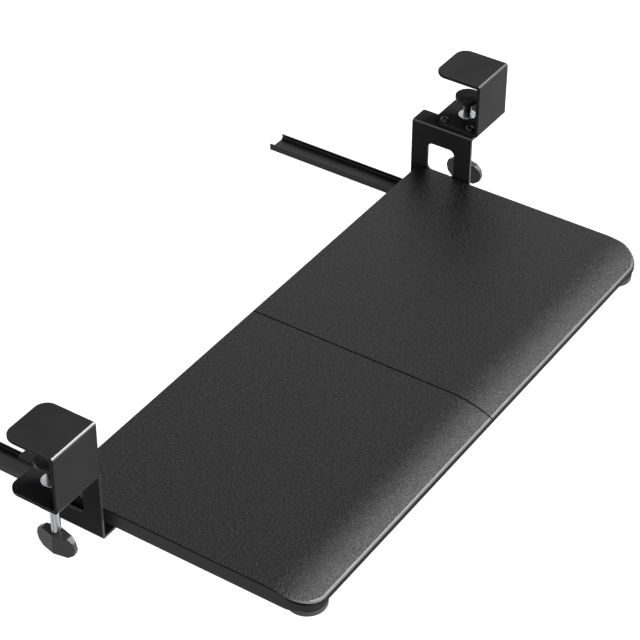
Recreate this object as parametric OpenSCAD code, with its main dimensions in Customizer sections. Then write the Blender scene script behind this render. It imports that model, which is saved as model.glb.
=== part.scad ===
// Pull-out tray that hangs under a table top on two C-clamps.
// Origin: middle of the two clamps, on the top front edge that they grip.
// X runs to the right, Y to the back, Z up. The tray is drawn pulled out.

/* [Tray] */
// Width of the tray over both boards
tray_w = 678; // [600:1:800]
// Depth of the tray from front to back
tray_d = 300; // [290:1:360]
// Thickness of the boards
board_t = 18; // [15:0.5:25]
// Height of the straight lip below the curved front
lip_h = 6; // [4:0.5:9]
// Radius of the curve that falls to the front lip
waterfall_r = 112; // [90:1:150]
// Radius of the edge between the curve and the lip
lip_over_r = 3; // [1:0.25:4]
// Radius under the front lip
lip_under_r = 2; // [0.5:0.5:2.5]
// Plan radius of the front corners
front_corner_r = 30; // [15:1:45]
// Plan radius of the back corners
back_corner_r = 8; // [2:1:20]
// Gap between the two boards at the seam
seam_gap = 0.6; // [0.2:0.1:2]
// How far the pulled-out tray stands ahead of the clamp brackets
reach = 229; // [210:1:234]

/* [Splice plates] */
// Length of a splice plate across the seam
splice_l = 130; // [80:1:180]
// Width of a splice plate
splice_w = 40; // [30:1:60]
// Thickness of a splice plate
splice_t = 2; // [1.5:0.5:4]
// Corner radius of a splice plate
splice_corner_r = 5; // [2:0.5:10]
// Distance of the front splice plate's middle from the tray front
splice_front = 95; // [80:1:130]
// Distance of the back splice plate's middle from the tray back
splice_back = 55; // [40:1:90]
// Distance of the splice screws from the plate's ends
splice_screw_end = 14; // [10:1:25]
// Distance of the splice screws from the plate's long edges
splice_screw_edge = 10; // [8:1:13]

/* [Wood screws] */
// Radius of the wood screw shanks
wood_screw_r = 1.9; // [1.5:0.1:2.4]
// Length of the wood screws in the board
wood_screw_l = 11; // [8:0.5:13]
// Radius of the wood screw heads
wood_head_r = 3.6; // [3:0.1:4]
// Height of the wood screw heads
wood_head_h = 2; // [1.5:0.1:2.4]
// Clearance round a fastener in its hole
hole_clear = 0.05; // [0.02:0.01:0.1]

/* [Bumpers] */
// Radius of the front bumpers
bumper_r = 21; // [14:0.5:21.5]
// Height of the front bumpers
bumper_h = 11.5; // [6:0.5:12]
// Radius round the bumper's edges
bumper_edge_r = 1.5; // [0.5:0.5:2.5]
// Distance of the bumper's middle from the tray side
bumper_side = 30; // [25:0.5:40]
// Distance of the bumper's middle from the tray front
bumper_front = 22; // [22:0.5:26]

/* [Slides] */
// Width of a slide channel
slide_w = 27; // [24:0.5:32]
// Height of a slide between the hanger flange and the tray
slide_h = 9; // [8.5:0.5:12]
// Length of a slide channel
slide_l = 252; // [200:1:300]
// Sheet thickness of the channel and the rail
slide_t = 1.5; // [1.2:0.1:1.9]
// Gap between the channel walls and the tray
wall_gap = 1; // [0.6:0.1:1.5]
// Distance of the rail's end from the tray back
rail_inset = 4; // [1:0.5:10]
// Gap between a bumper and the rail behind it
bumper_gap = 4.5; // [1:0.5:20]
// Number of screws along a rail
rail_screw_count = 3; // [2:1:5]
// Distance of the outer rail screws from the rail's ends
rail_screw_end = 14; // [8:1:30]
// Radius of the balls
ball_r = 1.6; // [1.4:0.1:1.8]
// Clearance of the balls in their grooves
ball_clear = 0.2; // [0.05:0.05:0.25]
// Clearance of the balls in the cage
pocket_clear = 0.1; // [0.05:0.05:0.2]
// Balls in each row
ball_count = 6; // [3:1:8]
// Length of a ball cage
cage_l = 58; // [45:1:60]
// Sheet thickness of a ball cage
cage_t = 0.6; // [0.4:0.1:0.8]
// Running gap over and under the cage
cage_gap = 0.3; // [0.2:0.05:0.4]
// Metal of the cage above the balls
cage_rim = 0.7; // [0.4:0.1:1]

/* [Hangers] */
// Gap between the tray's side and the hanger web
side_gap = 7.5; // [5:0.5:12]
// Plate thickness of a hanger
hanger_t = 3; // [2:0.5:4]
// Height of a hanger below the clamp bracket
hanger_h = 85.5; // [75:0.5:110]
// Depth of a hanger from front to back
hanger_d = 80; // [70:1:100]
// Distance of the hanger front behind the bracket's face
hanger_set_back = 4.5; // [4:0.5:8]
// Outer radius of the hanger's bends
hanger_bend_r = 2.5; // [1:0.5:3]
// Web left in front of the window
window_front = 22; // [15:0.5:26]
// Web left behind the window
window_behind = 22; // [15:0.5:26]
// Web left above the window
window_above = 24.5; // [15:0.5:30]
// Web left below the window
window_below = 23.5; // [15:0.5:30]
// Corner radius of the window
window_r = 7; // [3:0.5:9]
// Gap between the web and the slide channel
slide_side_gap = 17; // [4:0.5:24]
// Foot flange left beyond the channel
flange_margin = 3.5; // [2:0.5:8]
// Distance of the channel's front behind the hanger's front
channel_set_back = 1; // [0.5:0.5:5]
// Number of rivets through the channel
rivet_count = 3; // [2:1:4]
// Radius of the rivets
rivet_r = 2.4; // [1.5:0.1:3]
// Radius of the rivet heads
rivet_head_r = 4.2; // [3.5:0.1:5]
// Height of the rivet heads
rivet_head_h = 1.5; // [1:0.1:2]
// Distance of the outer rivets from the hanger's ends
rivet_end = 12; // [8:1:20]

/* [Clamp brackets] */
// Plate thickness of a clamp bracket
plate_t = 3.5; // [2.5:0.5:5]
// Width of a clamp bracket
bracket_w = 64; // [56:1:80]
// Depth of the bracket's top and bottom plates
bracket_d = 62; // [58:1:80]
// Height of a clamp bracket
bracket_h = 69; // [64:1:90]
// Outer radius of the bracket's bends
bend_r = 3.5; // [1:0.5:4]
// Plan radius of the plates' back corners
plate_corner_r = 14; // [4:1:18]
// Distance of the bracket's inner side beyond the hanger web
bracket_inset = 3; // [1:0.5:6]
// Thickness of the soft liner
liner_t = 1.5; // [1:0.5:3]
// Height of the liner behind the front plate
liner_h = 38; // [20:1:48]
// Distance of the liner from the plate's sides and end
liner_inset = 1; // [0.5:0.5:4]

/* [Hanger bolts] */
// Radius of the hanger bolts
bolt_r = 3; // [2.5:0.25:4]
// Radius of the bolt heads
bolt_head_r = 5.2; // [4.5:0.1:6]
// Height of the bolt heads
bolt_head_h = 3.2; // [2.5:0.1:4]
// Width of the nuts across their flats
nut_flats = 10; // [9:0.5:12]
// Height of the nuts
nut_h = 5; // [4:0.5:6]
// Bolt end below the nut
bolt_end = 1.5; // [0.5:0.5:3]
// Distance of the bolts from the bracket's inner side
bolt_side = 7.5; // [7:0.5:9]
// Distance of the front bolt behind the bracket's face
bolt_front = 15; // [12:0.5:18]
// Distance between the two bolts
bolt_pitch = 34; // [25:1:36]
// Top flange left beyond the bolts
flange_edge = 12.5; // [9:0.5:14]

/* [Clamp screws] */
// Opening of the clamps from the liner to the pressure pad
jaw_open = 33; // [20:0.5:46]
// Outer radius of the clamp screws
screw_r = 5; // [4:0.25:5.5]
// Length of the threaded shank
screw_l = 100; // [90:1:115]
// Distance of the screw axis behind the bracket's face
screw_back = 32.5; // [26:0.5:36]
// Running clearance of the screws
screw_clear = 0.05; // [0.02:0.01:0.1]
// Wall of the threaded bush round the screw
bush_wall = 3; // [2:0.5:3.5]
// Width of the bush's flange
bush_flange_w = 2.5; // [1.5:0.5:4]
// Thickness of the bush's flange
bush_flange_t = 2; // [1.5:0.5:3]
// Length of the bush below the bottom plate
bush_drop = 6.5; // [4:0.5:10]
// Radius of the screw's tip in the pad
tip_r = 3.5; // [2.5:0.25:3.75]
// Depth of the tip above the socket, inside the pad
tip_in_pad = 1; // [0.5:0.25:2]
// Gap between the screw's shoulder and the socket
shoulder_gap = 0.3; // [0.2:0.1:0.6]
// Gap above the screw's tip
tip_gap = 0.1; // [0.05:0.05:0.3]

/* [Pressure pads] */
// Radius of the pressure pads
pad_r = 15; // [13:0.5:16]
// Thickness of the pad plates
pad_t = 4; // [3:0.5:6]
// Thickness of the rubber faces
pad_face_t = 2; // [1:0.5:4]
// Wall of the socket round the screw's tip
socket_wall = 4; // [2:0.5:6]
// Height of the socket below the pad plate
socket_h = 6; // [4:0.5:8]

/* [Wing knobs] */
// Distance of the round ends' middles from the screw axis
lobe_x = 12.25; // [10:0.25:16]
// Radius of the round ends
lobe_r = 12.25; // [10:0.25:14]
// Thickness of the knob at its ends
knob_end_t = 4.5; // [3:0.5:7]
// Thickness of the knob over the ridges of its faces
knob_ridge_t = 15; // [14.5:0.5:18]
// Depth of the screw in the knob
knob_grip = 20.5; // [12:0.5:22]
// Wall of the collar round the screw
collar_wall = 1.5; // [1:0.25:1.75]
// Height of the collar above the knob
collar_h = 1; // [0.5:0.25:3]
// Turn of the left knob, in degrees
left_turn = 1.5; // [-90:0.5:90]
// Turn of the right knob, in degrees
right_turn = -2.5; // [-90:0.5:90]

/* [Hidden] */
$fn = 64;
// How far a cut runs past the face that it opens
over = 1;

// Heights, from the clamps down to the tray
bracket_top_z = liner_t + plate_t;
bracket_bottom_z = bracket_top_z - bracket_h;
hanger_bottom_z = bracket_bottom_z - hanger_h;
flange_top_z = hanger_bottom_z + hanger_t;
board_bottom_z = flange_top_z + slide_h;
pad_face_z = -jaw_open - pad_face_t;
pad_bottom_z = pad_face_z - pad_t;
socket_bottom_z = pad_bottom_z - socket_h;
shoulder_z = socket_bottom_z - shoulder_gap;
tip_top_z = pad_bottom_z + tip_in_pad;
screw_bottom_z = shoulder_z - screw_l;
knob_top_z = screw_bottom_z + knob_grip;

// Places across the tray, on the right side
half_w = tray_w / 2;
web_in_x = half_w + side_gap;
web_out_x = web_in_x + hanger_t;
bracket_in_x = web_out_x + bracket_inset;
screw_x = bracket_in_x + bracket_w / 2;
bolt_x = bracket_in_x + bolt_side;
slide_x = web_in_x - slide_side_gap - slide_w / 2;
bumper_x = half_w - bumper_side;
flange_in_x = slide_x - slide_w / 2 - flange_margin;
flange_out_x = bolt_x + flange_edge;

// Places from front to back
face_y = -liner_t - plate_t;
tray_front_y = face_y - reach;
tray_back_y = tray_front_y + tray_d;
hanger_front_y = face_y + hanger_set_back;
hanger_back_y = hanger_front_y + hanger_d;
channel_front_y = hanger_front_y + channel_set_back;
rail_back_y = tray_back_y - rail_inset;
cage_y = (channel_front_y + rail_back_y) / 2;
screw_y = face_y + screw_back;
bumper_y = tray_front_y + bumper_front;
rail_front_y = bumper_y + bumper_r + bumper_gap;
splice_y = [tray_front_y + splice_front, tray_back_y - splice_back];
splice_screw_places = [
    for (x = [-1, 1], y = [-1, 1])
        [x * (splice_l / 2 - splice_screw_end), y * (splice_w / 2 - splice_screw_edge)]
];
bolt_places = [for (i = [0, 1]) [bolt_x, face_y + bolt_front + i * bolt_pitch]];
rivet_places = [for (y = spread(hanger_front_y + rivet_end, hanger_back_y - rivet_end, rivet_count)) [slide_x, y]];
rail_screw_places = [
    for (y = spread(rail_front_y + rail_screw_end, rail_back_y - rail_screw_end, rail_screw_count)) [slide_x, y]
];

// Section of a slide, measured from the middle of its foot
wall_in = slide_w / 2 - slide_t;
ball_x = wall_in - ball_r + slide_t / 2;
leg_out = ball_x - ball_r + slide_t / 2;
ball_z = slide_h / 2 + slide_t / 4;
cage_z = slide_t + cage_gap;
leg_z = cage_z + cage_t + cage_gap;
groove_r = ball_r + ball_clear;
ball_rows = [for (i = [0 : ball_count - 1]) cage_y + cage_l * ((i + 0.5) / ball_count - 0.5)];

// Evenly spread values from first to last
function spread(first, last, count) = [for (i = [0 : count - 1]) first + (last - first) * i / (count - 1)];

// Draws the right-hand piece as it is, or mirrors it to the left
module on_side(side) {
    if (side == "left") mirror([1, 0, 0]) children();
    else children();
}

// Puts a copy at each place of a list
module at_places(places) {
    for (p = places) translate([p[0], p[1], 0]) children();
}

// Rectangle with round corners, from its middle
module round_rect(w, h, r) {
    square([w - 2 * r, h], center = true);
    square([w, h - 2 * r], center = true);
    for (x = [-1, 1], y = [-1, 1]) translate([x * (w / 2 - r), y * (h / 2 - r)]) circle(r);
}

// What a round takes off a corner at the origin, whose piece lies in the first quadrant
module corner_cut(r) {
    difference() {
        translate([-over, -over]) square(r + over);
        translate([r, r]) circle(r);
    }
}

// Runs a section drawn in Y and Z along X
module along_x(from, length) {
    translate([from, 0, 0]) rotate([90, 0, 90]) linear_extrude(length) children();
}

// Runs a section drawn in X and Z along Y
module along_y(from, length) {
    translate([0, from + length, 0]) rotate([90, 0, 0]) linear_extrude(length) children();
}

// Board section: flat top, curved fall and straight lip at the front
module board_section() {
    fall = board_t - lip_h;
    run = sqrt(2 * waterfall_r * fall - fall * fall);
    // Middle of the round that joins the lip to the curve, and the way from the curve's middle to it
    across = lip_over_r - run;
    up = sqrt(pow(waterfall_r - lip_over_r, 2) - pow(across, 2));
    round_z = board_t - waterfall_r + up;
    cut = (lip_over_r + over) / (waterfall_r - lip_over_r);
    difference() {
        square([tray_d, board_t]);
        difference() {
            translate([-over, lip_h]) square([run + over, fall + over]);
            translate([run, board_t - waterfall_r]) circle(waterfall_r, $fn = 180);
        }
        difference() {
            polygon([
                [-over, round_z], [lip_over_r, round_z],
                [lip_over_r + cut * across, round_z + cut * up], [-over, round_z + cut * up]
            ]);
            translate([lip_over_r, round_z]) circle(lip_over_r);
        }
        corner_cut(lip_under_r);
    }
}

// Plan of the right board
module board_plan() {
    difference() {
        translate([seam_gap / 2, tray_front_y]) square([half_w - seam_gap / 2, tray_d]);
        translate([half_w, tray_front_y]) mirror([1, 0]) corner_cut(front_corner_r);
        translate([half_w, tray_back_y]) rotate(180) corner_cut(back_corner_r);
    }
}

// Pilot holes up into a board
module pilot_holes(places) {
    at_places(places) translate([0, 0, board_bottom_z - over])
        cylinder(r = wood_screw_r + hole_clear, h = wood_screw_l + over + hole_clear);
}

module tray_board(side) {
    color("#2b2b2d") on_side(side) difference() {
        intersection() {
            translate([0, tray_front_y, board_bottom_z]) along_x(0, half_w) board_section();
            translate([0, 0, board_bottom_z]) linear_extrude(board_t) board_plan();
        }
        pilot_holes(rail_screw_places);
        pilot_holes([[bumper_x, bumper_y]]);
        for (y = splice_y) translate([0, y, 0]) pilot_holes([for (p = splice_screw_places) if (p[0] > 0) p]);
    }
}

module splice_plate(y) {
    color("#8d9094") translate([0, y, board_bottom_z - splice_t]) linear_extrude(splice_t) difference() {
        round_rect(splice_l, splice_w, splice_corner_r);
        at_places(splice_screw_places) circle(wood_screw_r + hole_clear);
    }
}

// Wood screw with its head under the plane z = 0 and its shank above it through a sheet
module wood_screw(sheet) {
    translate([0, 0, -wood_head_h]) cylinder(r = wood_head_r, h = wood_head_h);
    cylinder(r = wood_screw_r, h = wood_screw_l + sheet);
}

module splice_screws() {
    color("#b9bcc0") for (y = splice_y) translate([0, y, board_bottom_z - splice_t])
        at_places(splice_screw_places) wood_screw(splice_t);
}

// Height of a bumper's floor above its screw head
function bumper_floor() = bumper_h - wood_head_h - bumper_edge_r;

module bumper(side) {
    color("#3a3b3d") on_side(side) translate([bumper_x, bumper_y, board_bottom_z - bumper_h]) difference() {
        rotate_extrude() difference() {
            square([bumper_r, bumper_h]);
            translate([bumper_r, 0]) mirror([1, 0]) corner_cut(bumper_edge_r);
            translate([bumper_r, bumper_h]) rotate(180) corner_cut(bumper_edge_r);
        }
        translate([0, 0, -over]) cylinder(r = wood_head_r + hole_clear, h = bumper_h - bumper_floor() + over);
        cylinder(r = wood_screw_r + hole_clear, h = bumper_h + over);
    }
}

module bumper_screws() {
    color("#b9bcc0") for (side = ["left", "right"]) on_side(side)
        translate([bumper_x, bumper_y, board_bottom_z - bumper_floor()]) wood_screw(bumper_floor());
}

// Ball grooves on both sides of a slide section
module groove_cuts() {
    for (s = [-1, 1]) translate([s * ball_x, ball_z]) circle(groove_r);
}

module channel_section() {
    difference() {
        translate([-slide_w / 2, 0]) square([slide_w, slide_h - wall_gap]);
        translate([-wall_in, slide_t]) square([2 * wall_in, slide_h]);
        groove_cuts();
    }
}

module rail_section() {
    difference() {
        translate([-leg_out, leg_z]) square([2 * leg_out, slide_h - leg_z]);
        translate([slide_t - leg_out, leg_z - over]) square([2 * (leg_out - slide_t), slide_h - slide_t - leg_z + over]);
        groove_cuts();
    }
}

module cage_section() {
    out = ball_x + cage_t / 2;
    difference() {
        translate([-out, cage_z]) square([2 * out, ball_z + ball_r + cage_rim - cage_z]);
        translate([cage_t - out, cage_z + cage_t]) square([2 * (out - cage_t), slide_h]);
    }
}

module slide_channel(side) {
    color("#2f3033") on_side(side) difference() {
        translate([slide_x, 0, flange_top_z]) along_y(channel_front_y, slide_l) channel_section();
        at_places(rivet_places) translate([0, 0, flange_top_z - over])
            cylinder(r = rivet_r + hole_clear, h = slide_t + 2 * over);
    }
}

module channel_rivets(side) {
    color("#6f7275") on_side(side) at_places(rivet_places) {
        translate([0, 0, hanger_bottom_z]) cylinder(r = rivet_r, h = hanger_t + slide_t);
        translate([0, 0, hanger_bottom_z - rivet_head_h]) cylinder(r = rivet_head_r, h = rivet_head_h);
    }
}

module rail(side) {
    color("#2f3033") on_side(side) difference() {
        translate([slide_x, 0, flange_top_z]) along_y(rail_front_y, rail_back_y - rail_front_y) rail_section();
        at_places(rail_screw_places) translate([0, 0, board_bottom_z - slide_t - over])
            cylinder(r = wood_screw_r + hole_clear, h = slide_t + 2 * over);
    }
}

module rail_screws(side) {
    color("#6f7275") on_side(side) at_places(rail_screw_places)
        translate([0, 0, board_bottom_z - slide_t]) wood_screw(slide_t);
}

module ball_cage(side) {
    color("#9a9da1") on_side(side) translate([slide_x, 0, flange_top_z]) difference() {
        along_y(cage_y - cage_l / 2, cage_l) cage_section();
        for (y = ball_rows) translate([-slide_w, y, ball_z]) rotate([0, 90, 0])
            cylinder(r = ball_r + pocket_clear, h = 2 * slide_w);
    }
}

module balls(side) {
    color("#c9ccd0") on_side(side) translate([slide_x, 0, flange_top_z])
        for (s = [-1, 1], y = ball_rows) translate([s * ball_x, y, ball_z]) sphere(ball_r);
}

// Hanger section: top flange out, web down, foot flange in, with round bends
module hanger_section() {
    top_z = bracket_bottom_z;
    difference() {
        union() {
            translate([web_in_x, top_z - hanger_t]) square([flange_out_x - web_in_x, hanger_t]);
            translate([web_in_x, hanger_bottom_z]) square([hanger_t, hanger_h]);
            translate([flange_in_x, hanger_bottom_z]) square([web_out_x - flange_in_x, hanger_t]);
        }
        translate([web_in_x, top_z]) mirror([0, 1]) corner_cut(hanger_bend_r);
        translate([web_out_x, hanger_bottom_z]) mirror([1, 0]) corner_cut(hanger_bend_r);
    }
}

module hanger(side) {
    window_d = hanger_d - window_front - window_behind;
    window_h = hanger_h - window_above - window_below;
    window_y = hanger_front_y + window_front + window_d / 2;
    window_z = hanger_bottom_z + window_below + window_h / 2;
    color("#333436") on_side(side) difference() {
        along_y(hanger_front_y, hanger_d) hanger_section();
        translate([0, window_y, window_z]) along_x(web_in_x - over, hanger_t + 2 * over)
            round_rect(window_d, window_h, window_r);
        at_places(bolt_places) translate([0, 0, bracket_bottom_z - hanger_t - over])
            cylinder(r = bolt_r + hole_clear, h = hanger_t + 2 * over);
        at_places(rivet_places) translate([0, 0, hanger_bottom_z - over])
            cylinder(r = rivet_r + hole_clear, h = hanger_t + 2 * over);
    }
}

module hanger_bolts(side) {
    length = plate_t + hanger_t + nut_h + bolt_end;
    color("#3b3c3f") on_side(side) at_places(bolt_places) translate([0, 0, bracket_bottom_z + plate_t]) {
        cylinder(r = bolt_head_r, h = bolt_head_h);
        translate([0, 0, -length]) cylinder(r = bolt_r, h = length);
    }
}

module hanger_nuts(side) {
    color("#3b3c3f") on_side(side) at_places(bolt_places)
        translate([0, 0, bracket_bottom_z - hanger_t - nut_h]) difference() {
            cylinder(r = nut_flats / 2 / cos(30), h = nut_h, $fn = 6);
            translate([0, 0, -over]) cylinder(r = bolt_r + hole_clear, h = nut_h + 2 * over);
        }
}

// Side view of a clamp bracket: top, front and bottom plate with round bends
module bracket_section() {
    difference() {
        translate([face_y, bracket_bottom_z]) square([bracket_d, bracket_h]);
        translate([face_y + plate_t, bracket_bottom_z + plate_t]) square([bracket_d, bracket_h - 2 * plate_t]);
        translate([face_y, bracket_bottom_z]) corner_cut(bend_r);
        translate([face_y, bracket_top_z]) mirror([0, 1]) corner_cut(bend_r);
    }
}

// Plan of a plate that runs back from a front line, with round back corners
module plate_plan(from_x, from_y, w, d, r) {
    translate([from_x, from_y]) difference() {
        square([w, d]);
        translate([0, d]) mirror([0, 1]) corner_cut(r);
        translate([w, d]) rotate(180) corner_cut(r);
    }
}

module clamp_bracket(side) {
    color("#3a3b3d") on_side(side) difference() {
        intersection() {
            along_x(bracket_in_x, bracket_w) bracket_section();
            translate([0, 0, bracket_bottom_z - over]) linear_extrude(bracket_h + 2 * over)
                plate_plan(bracket_in_x, face_y, bracket_w, bracket_d, plate_corner_r);
        }
        translate([screw_x, screw_y, bracket_bottom_z - over])
            cylinder(r = bush_r() + hole_clear, h = plate_t + 2 * over);
        at_places(bolt_places) translate([0, 0, bracket_bottom_z - over])
            cylinder(r = bolt_r + hole_clear, h = plate_t + 2 * over);
    }
}

module clamp_liner(side) {
    w = bracket_w - 2 * liner_inset;
    color("#1c1c1d") on_side(side) {
        linear_extrude(liner_t) plate_plan(
            bracket_in_x + liner_inset, -liner_t, w, face_y + bracket_d - liner_inset + liner_t,
            plate_corner_r - liner_inset
        );
        translate([bracket_in_x + liner_inset, -liner_t, liner_t - liner_h]) cube([w, liner_t, liner_h]);
    }
}

// Outer radius of the threaded bush
function bush_r() = screw_r + screw_clear + bush_wall;

module clamp_bush(side) {
    color("#8d9094") on_side(side) translate([screw_x, screw_y, bracket_bottom_z]) difference() {
        union() {
            translate([0, 0, -bush_drop]) cylinder(r = bush_r(), h = bush_drop + plate_t);
            translate([0, 0, plate_t]) cylinder(r = bush_r() + bush_flange_w, h = bush_flange_t);
        }
        translate([0, 0, -bush_drop - over])
            cylinder(r = screw_r + screw_clear, h = bush_drop + plate_t + bush_flange_t + 2 * over);
    }
}

module clamp_screw(side) {
    color("#b7babd") on_side(side) translate([screw_x, screw_y, 0]) {
        translate([0, 0, screw_bottom_z]) cylinder(r = screw_r, h = screw_l);
        translate([0, 0, shoulder_z]) cylinder(r = tip_r, h = tip_top_z - shoulder_z);
    }
}

// Wing knob round the screw's lower end: oval from the side, thickest at the ridges, its top in the plane z = 0
module wing_knob_body() {
    end_x = lobe_x + lobe_r;
    intersection() {
        translate([0, 0, -lobe_r]) rotate([90, 0, 0]) linear_extrude(2 * knob_ridge_t, center = true) {
            square([2 * lobe_x, 2 * lobe_r], center = true);
            for (s = [-1, 1]) translate([s * lobe_x, 0]) circle(lobe_r);
        }
        translate([0, 0, -2 * lobe_r - over]) linear_extrude(2 * lobe_r + 2 * over) polygon([
            [-end_x, -knob_end_t / 2], [0, -knob_ridge_t / 2], [end_x, -knob_end_t / 2],
            [end_x, knob_end_t / 2], [0, knob_ridge_t / 2], [-end_x, knob_end_t / 2]
        ]);
    }
    translate([0, 0, -lobe_r]) cylinder(r = screw_r + screw_clear + collar_wall, h = lobe_r + collar_h);
}

module wing_knob(side, turn) {
    color("#3c3d3f") on_side(side) translate([screw_x, screw_y, knob_top_z]) difference() {
        rotate([0, 0, 90 + turn]) wing_knob_body();
        translate([0, 0, -knob_grip]) cylinder(r = screw_r + screw_clear, h = knob_grip + collar_h + over);
    }
}

module pressure_pad(side) {
    color("#4a4c4f") on_side(side) translate([screw_x, screw_y, 0]) difference() {
        union() {
            translate([0, 0, pad_bottom_z]) cylinder(r = pad_r, h = pad_t);
            translate([0, 0, socket_bottom_z]) cylinder(r = tip_r + screw_clear + socket_wall, h = socket_h);
        }
        translate([0, 0, socket_bottom_z - over])
            cylinder(r = tip_r + screw_clear, h = tip_top_z + tip_gap - socket_bottom_z + over);
    }
}

module pad_face(side) {
    color("#1c1c1d") on_side(side) translate([screw_x, screw_y, pad_face_z]) cylinder(r = pad_r, h = pad_face_t);
}

tray_board("left");  // tray_board_left
tray_board("right");  // tray_board_right
splice_plate(splice_y[0]);  // splice_plate_front
splice_plate(splice_y[1]);  // splice_plate_back
splice_screws();
bumper("left");  // bumper_left
bumper("right");  // bumper_right
bumper_screws();
rail("left");  // rail_left
rail("right");  // rail_right
rail_screws("left");  // rail_screws_left
rail_screws("right");  // rail_screws_right
ball_cage("left");  // ball_cage_left
ball_cage("right");  // ball_cage_right
balls("left");  // balls_left
balls("right");  // balls_right
slide_channel("left");  // slide_channel_left
slide_channel("right");  // slide_channel_right
channel_rivets("left");  // channel_rivets_left
channel_rivets("right");  // channel_rivets_right
hanger("left");  // hanger_left
hanger("right");  // hanger_right
hanger_bolts("left");  // hanger_bolts_left
hanger_bolts("right");  // hanger_bolts_right
hanger_nuts("left");  // hanger_nuts_left
hanger_nuts("right");  // hanger_nuts_right
clamp_bracket("left");  // clamp_bracket_left
clamp_bracket("right");  // clamp_bracket_right
clamp_liner("left");  // clamp_liner_left
clamp_liner("right");  // clamp_liner_right
clamp_bush("left");  // clamp_bush_left
clamp_bush("right");  // clamp_bush_right
clamp_screw("left");  // clamp_screw_left
clamp_screw("right");  // clamp_screw_right
wing_knob("left", left_turn);  // wing_knob_left
wing_knob("right", right_turn);  // wing_knob_right
pressure_pad("left");  // pressure_pad_left
pressure_pad("right");  // pressure_pad_right
pad_face("left");  // pad_face_left
pad_face("right");  // pad_face_right
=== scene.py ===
"""Pull-out tray under two C-clamps: film-wrapped boards on ball slides, hung from bent steel plates."""
import math

import bmesh
import bpy
from mathutils import Matrix, Quaternion, Vector


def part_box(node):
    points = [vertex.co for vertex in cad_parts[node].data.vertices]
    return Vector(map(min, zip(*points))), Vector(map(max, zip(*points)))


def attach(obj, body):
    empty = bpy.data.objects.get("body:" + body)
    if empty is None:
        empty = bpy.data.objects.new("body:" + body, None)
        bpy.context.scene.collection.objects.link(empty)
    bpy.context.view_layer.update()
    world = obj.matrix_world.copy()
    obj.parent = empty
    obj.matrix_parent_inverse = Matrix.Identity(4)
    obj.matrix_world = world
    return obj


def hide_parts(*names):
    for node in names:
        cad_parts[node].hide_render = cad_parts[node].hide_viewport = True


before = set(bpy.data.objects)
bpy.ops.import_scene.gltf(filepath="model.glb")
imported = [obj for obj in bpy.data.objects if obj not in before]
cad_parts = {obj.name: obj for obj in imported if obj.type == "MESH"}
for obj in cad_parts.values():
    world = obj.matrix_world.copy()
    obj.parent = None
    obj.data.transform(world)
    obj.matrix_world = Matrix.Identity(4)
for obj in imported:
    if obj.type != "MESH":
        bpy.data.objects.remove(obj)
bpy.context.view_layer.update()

MM = 0.001
SIDES = ("left", "right")


# Camera at the photograph's viewing angle, from the front left and above
CAMERA_PLACE = Vector((-1.55258, -1.04552, 1.35143))
CAMERA_AIM = Vector((0.02634, -0.00368, -0.1195))
CAMERA_LENS, SENSOR_WIDTH = 125.35, 36
CAMERA_ROLL = math.radians(0.31)

lens = bpy.data.cameras.new("camera")
lens.sensor_fit = "HORIZONTAL"
lens.sensor_width = SENSOR_WIDTH
lens.lens = CAMERA_LENS
camera = bpy.data.objects.new("camera", lens)
bpy.context.scene.collection.objects.link(camera)
camera.location = CAMERA_PLACE
camera.rotation_mode = "QUATERNION"
camera.rotation_quaternion = (
    (CAMERA_AIM - CAMERA_PLACE).to_track_quat("-Z", "Y") @ Quaternion((0, 0, 1), CAMERA_ROLL)
)
bpy.context.scene.camera = camera


# Materials

# What counts as the low and the high end of a noise, which keeps near its middle
NOISE_LOW, NOISE_HIGH = 0.3, 0.7
PEBBLE_LOW, PEBBLE_HIGH = 0.45, 0.7
CLOUD_DETAIL = 3.0


def linear(hex_colour):
    """Linear colour of an sRGB hex value."""
    parts = [int(hex_colour[i:i + 2], 16) / 255 for i in (1, 3, 5)]
    return [p / 12.92 if p <= 0.04045 else ((p + 0.055) / 1.055) ** 2.4 for p in parts] + [1]


def add(tree, kind, fields=(), **inputs):
    """Adds a node, sets its fields, and sets or links its inputs. An underscore stands for a space."""
    made = tree.nodes.new("ShaderNode" + kind)
    for field, value in dict(fields).items():
        setattr(made, field, value)
    for name, value in inputs.items():
        socket = made.inputs[name.replace("_", " ")]
        if isinstance(value, bpy.types.NodeSocket):
            tree.links.new(value, socket)
        else:
            socket.default_value = value
    return made


def spread(tree, value, low, high, to_low=0.0, to_high=1.0):
    """Carries a value from one range over to another."""
    made = add(tree, "MapRange", Value=value, From_Min=low, From_Max=high, To_Min=to_low, To_Max=to_high)
    return made.outputs["Result"]


def shaded(tree, share, colour, shade):
    """Mixes a share of a shade into a colour."""
    return add(tree, "MixRGB", Fac=share, Color1=colour, Color2=linear(shade)).outputs["Color"]


def per_mm(size):
    """Pattern scale at which one cell is this many mm."""
    return 1 / (size * MM)


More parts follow.
